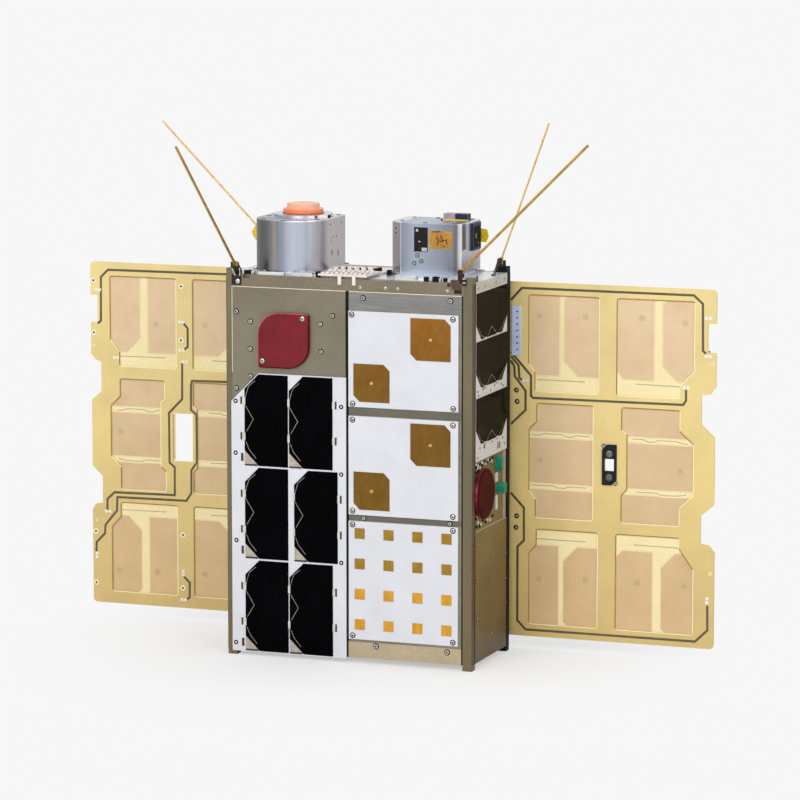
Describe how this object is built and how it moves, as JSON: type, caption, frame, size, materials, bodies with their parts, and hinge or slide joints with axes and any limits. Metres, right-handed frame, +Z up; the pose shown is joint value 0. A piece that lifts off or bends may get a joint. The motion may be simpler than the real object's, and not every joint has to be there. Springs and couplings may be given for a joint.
{
  "type": "small box satellite",
  "caption": "Box-shaped small satellite with solar cells, flat antenna boards, two aluminium cans on top, hinged solar wings and folding antenna rods.",
  "frame": {"origin": "on the ground, in the middle of the four rail feet and under the middle of the spread wings", "axes": "X to the right seen from the front, along the wings; Y to the rear; Z up. The face with the large antenna boards looks to -Y"},
  "size_m": [0.5938, 0.3325, 0.4579],
  "materials": {
    "bronze_anodised": "hard anodised aluminium, olive brown, satin",
    "black_anodised": "black anodised aluminium",
    "brushed_aluminium": "brushed grey conversion coat",
    "bare_aluminium": "machined aluminium",
    "inner_mass": "plain hidden block",
    "white_board": "white solder mask on glass laminate",
    "black_board": "black solder mask",
    "yellow_laminate": "bare yellow glass laminate",
    "solar_cell": "dark cell under cover glass",
    "gold_plate": "gold plated copper",
    "red_anodised": "red cover, matte",
    "orange_plastic": "orange plastic cap",
    "green_plastic": "green plastic sockets",
    "black_plastic": "black plastic",
    "brass_rod": "gold plated spring rod"
  },
  "bodies": {
    "body": {"rails": "bronze_anodised", "dark_rail": "black_anodised", "top_bars": "bronze_anodised", "top_plate": "bare_aluminium", "bottom_frame": "bronze_anodised", "inner_block": "inner_mass", "left_plate": "bronze_anodised", "solar_board": "white_board", "front_cells": "solar_cell", "red_cover": "red_anodised", "right_plate": "brushed_aluminium", "antenna_board_upper": "white_board", "antenna_board_middle": "white_board", "antenna_board_lower": "white_board", "gold_patches": "gold_plate", "side_boards": "white_board", "side_cells": "solar_cell", "service_boards": "bronze_anodised", "side_plates": "bronze_anodised", "round_cover": "red_anodised", "green_sockets": "green_plastic", "rear_board": "white_board", "rear_cells": "solar_cell", "left_can": "bare_aluminium", "can_flanges": "bare_aluminium", "lens_ring": "bare_aluminium", "lens_cap": "orange_plastic", "right_can": "bare_aluminium", "can_blocks": "black_plastic", "middle_board": "white_board", "switch_posts": "black_plastic", "rod_forks": "bare_aluminium", "hinge_blocks": "bare_aluminium"},
    "wing_right": {"right_wing_board": "yellow_laminate", "right_wing_cells": "solar_cell", "right_wing_leaves": "bare_aluminium", "sensor_board": "black_board"},
    "wing_left": {"left_wing_board": "yellow_laminate", "left_wing_cells": "solar_cell", "left_wing_leaves": "bare_aluminium"},
    "antenna_front_right": {"rod_front_right": "brass_rod"},
    "antenna_front_left": {"rod_front_left": "brass_rod"},
    "antenna_rear_left": {"rod_rear_left": "brass_rod"},
    "antenna_rear_right": {"rod_rear_right": "brass_rod"}
  },
  "joints": [
    {"name": "wing_right_fold", "type": "hinge", "parent": "body", "child": "wing_right", "pos_m": [0.106, 0.064, 0.1685], "axis": [0, 0, 1], "range_deg": [0, 180]},
    {"name": "wing_left_fold", "type": "hinge", "parent": "body", "child": "wing_left", "pos_m": [-0.106, 0.075, 0.1685], "axis": [0, 0, -1], "range_deg": [0, 180]},
    {"name": "antenna_front_right_fold", "type": "hinge", "parent": "body", "child": "antenna_front_right", "pos_m": [0.1015, -0.047, 0.3454], "axis": [0, -0.9987, -0.05], "range_deg": [0, 135.6]},
    {"name": "antenna_front_left_fold", "type": "hinge", "parent": "body", "child": "antenna_front_left", "pos_m": [-0.1034, -0.0515, 0.3434], "axis": [0, 0.7002, 0.7139], "range_deg": [0, 92.3]},
    {"name": "antenna_rear_left_fold", "type": "hinge", "parent": "body", "child": "antenna_rear_left", "pos_m": [-0.1015, 0.047, 0.3454], "axis": [0, 0.9987, -0.05], "range_deg": [0, 135.6]},
    {"name": "antenna_rear_right_fold", "type": "hinge", "parent": "body", "child": "antenna_rear_right", "pos_m": [0.1034, 0.0515, 0.3434], "axis": [0, -0.7002, 0.7139], "range_deg": [0, 92.3]}
  ]
}
